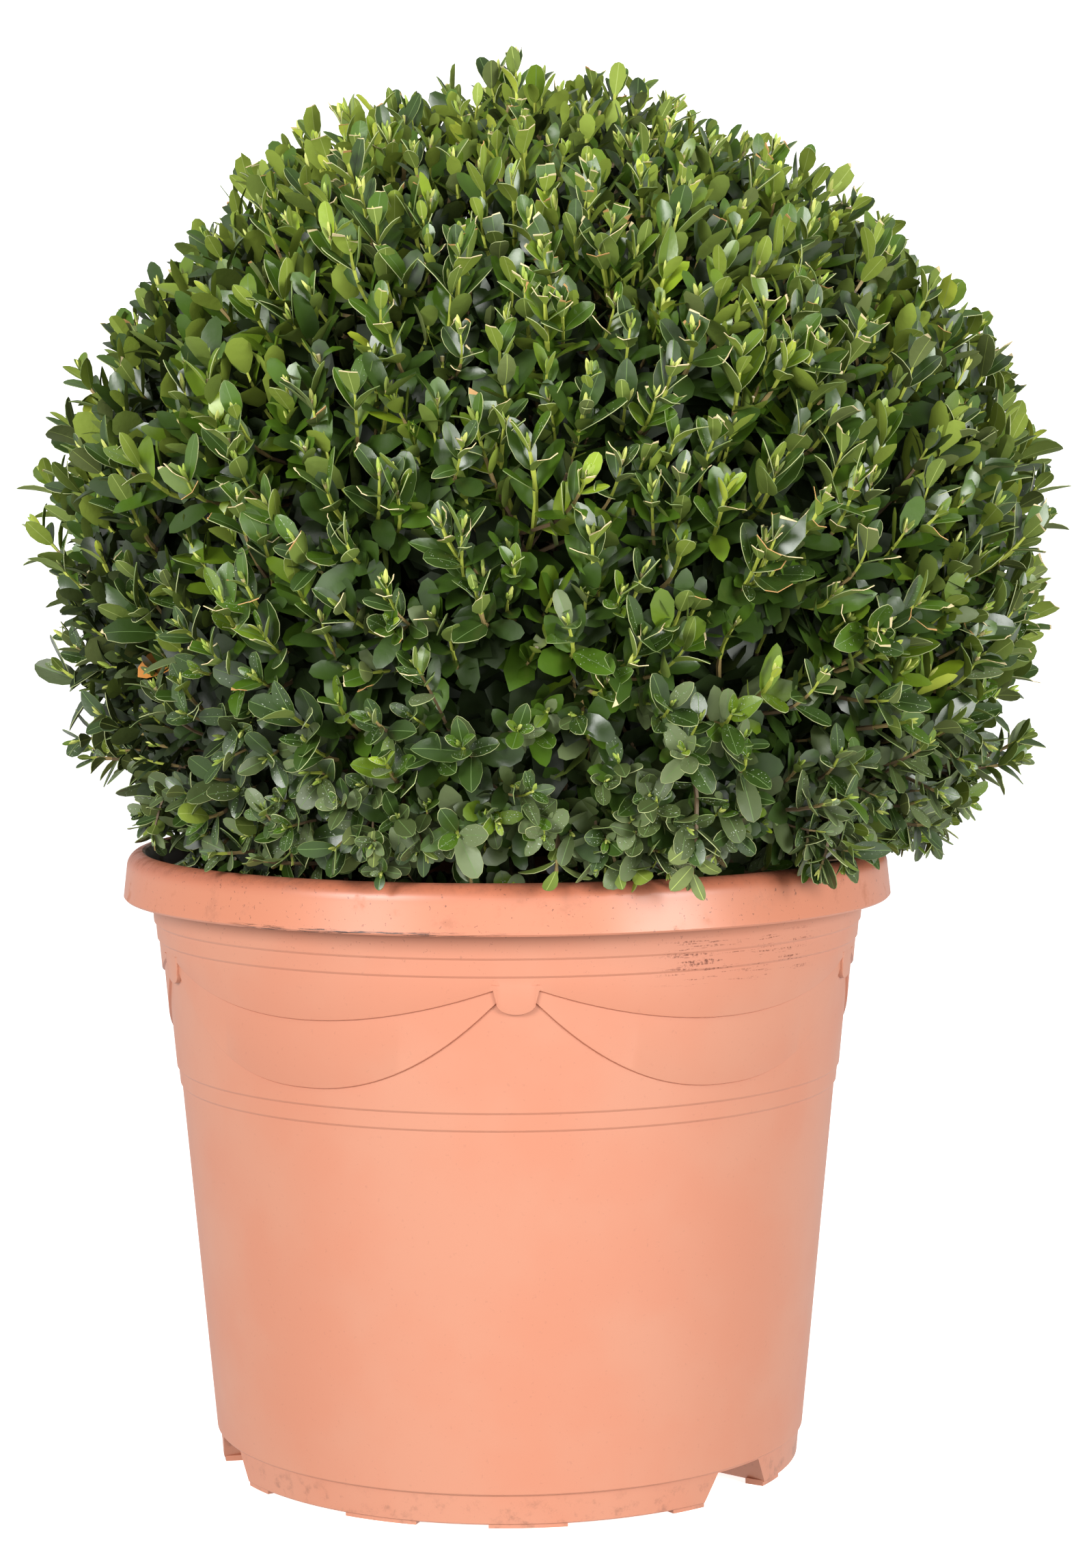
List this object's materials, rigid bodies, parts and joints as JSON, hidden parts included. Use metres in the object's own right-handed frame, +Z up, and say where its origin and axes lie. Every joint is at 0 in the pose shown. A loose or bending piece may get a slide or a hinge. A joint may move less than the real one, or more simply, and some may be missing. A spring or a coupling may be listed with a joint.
{
  "type": "clipped box ball in a pot",
  "caption": "Evergreen box shrub clipped to a dense round ball, growing in a round tapered plastic pot with a hooked rim and swag relief.",
  "frame": {"origin": "on the ground, under the middle of the whole plant's bounding box", "axes": "+Z up, -Y towards the viewer, +X to the viewer's right"},
  "size_m": [0.5556, 0.5546, 0.771],
  "materials": {
    "pot_plastic": "salmon terracotta coloured moulded plastic, satin, with soil smudges on the rim",
    "compost": "dark crumbly potting compost",
    "bark": "dry grey-brown corky bark",
    "leaves": "small glossy dark green leaves with paler undersides"
  },
  "bodies": {
    "root": {"pot": "pot_plastic", "soil": "compost", "stem": "bark", "bough_1": "bark", "bough_2": "bark", "bough_3": "bark", "bough_4": "bark", "bough_5": "bark", "foliage_ball": "leaves"}
  },
  "joints": []
}
